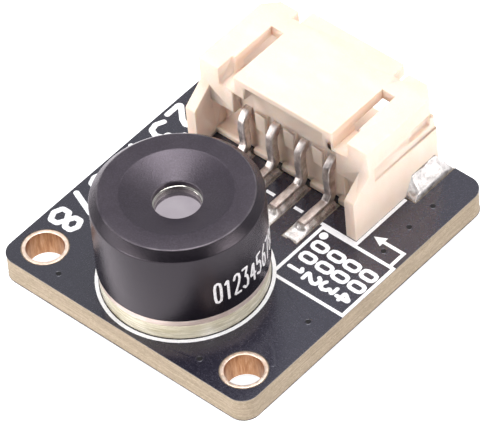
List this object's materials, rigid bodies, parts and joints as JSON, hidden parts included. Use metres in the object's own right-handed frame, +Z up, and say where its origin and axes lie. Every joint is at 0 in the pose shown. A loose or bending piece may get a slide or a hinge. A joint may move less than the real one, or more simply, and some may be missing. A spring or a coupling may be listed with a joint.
{
  "type": "infrared thermal array sensor board",
  "caption": "Infrared thermal array sensor in a dished black metal can on a small black board with plated mounting holes and a cream side-entry wire connector.",
  "frame": {"origin": "half way between the two mounting holes, on the board's underside", "axes": "+X along the row of mounting holes, +Y from the hole row towards the connector, +Z up out of the board's sensor side"},
  "size_m": [0.0176, 0.0199, 0.0091],
  "materials": {
    "laminate": "woven glass laminate, cut edge",
    "black_lacquer": "satin black solder lacquer",
    "white_print": "printed ink",
    "ring_copper": "gold-finished copper",
    "pad_metal": "finished copper",
    "solder": "reflowed solder",
    "tinned_metal": "tin plated, satin",
    "housing_plastic": "moulded nylon, natural",
    "blackened_metal": "blackened, fine blasted grain",
    "bare_steel": "plated steel",
    "lens": "coated infrared window",
    "lead_metal": "gold plated",
    "bead_glass": "fused glass",
    "silicon": "polished silicon",
    "spacer_plastic": "semi-clear moulded plastic",
    "chip_resin": "moulded resin",
    "chip_ceramic": "fired ceramic"
  },
  "bodies": {
    "root": {"capacitor_1_body": "chip_ceramic", "capacitor_1_ends": "tinned_metal", "capacitor_2_body": "chip_ceramic", "capacitor_2_ends": "tinned_metal", "circuit_board": "laminate", "connector_housing": "housing_plastic", "contact_1": "tinned_metal", "contact_2": "tinned_metal", "contact_3": "tinned_metal", "contact_4": "tinned_metal", "contact_solder_1": "solder", "contact_solder_2": "solder", "contact_solder_3": "solder", "contact_solder_4": "solder", "detector_die": "silicon", "glass_seal_1": "bead_glass", "glass_seal_2": "bead_glass", "glass_seal_3": "bead_glass", "glass_seal_4": "bead_glass", "hole_plating_left": "ring_copper", "hole_plating_right": "ring_copper", "insulating_spacer": "spacer_plastic", "lead_barrel_1": "pad_metal", "lead_barrel_2": "pad_metal", "lead_barrel_3": "pad_metal", "lead_barrel_4": "pad_metal", "lead_solder_1": "solder", "lead_solder_2": "solder", "lead_solder_3": "solder", "lead_solder_4": "solder", "lens_retainer": "bare_steel", "lens_ring": "bare_steel", "lens_window": "lens", "memory_die": "silicon", "regulator_body": "chip_resin", "regulator_leads": "tinned_metal", "resistor_1_body": "chip_resin", "resistor_1_ends": "tinned_metal", "resistor_2_body": "chip_resin", "resistor_2_ends": "tinned_metal", "sensor_cap": "blackened_metal", "sensor_header": "bare_steel", "sensor_lead_1": "lead_metal", "sensor_lead_2": "lead_metal", "sensor_lead_3": "lead_metal", "sensor_lead_4": "lead_metal", "signal_pad_1": "pad_metal", "signal_pad_2": "pad_metal", "signal_pad_3": "pad_metal", "signal_pad_4": "pad_metal", "silkscreen_top": "white_print", "solder_mask_bottom": "black_lacquer", "solder_mask_top": "black_lacquer", "solder_tab_left": "tinned_metal", "solder_tab_right": "tinned_metal", "tab_pad_left": "pad_metal", "tab_pad_right": "pad_metal", "tab_solder_left": "solder", "tab_solder_right": "solder", "underside_pads": "pad_metal"}
  },
  "joints": []
}
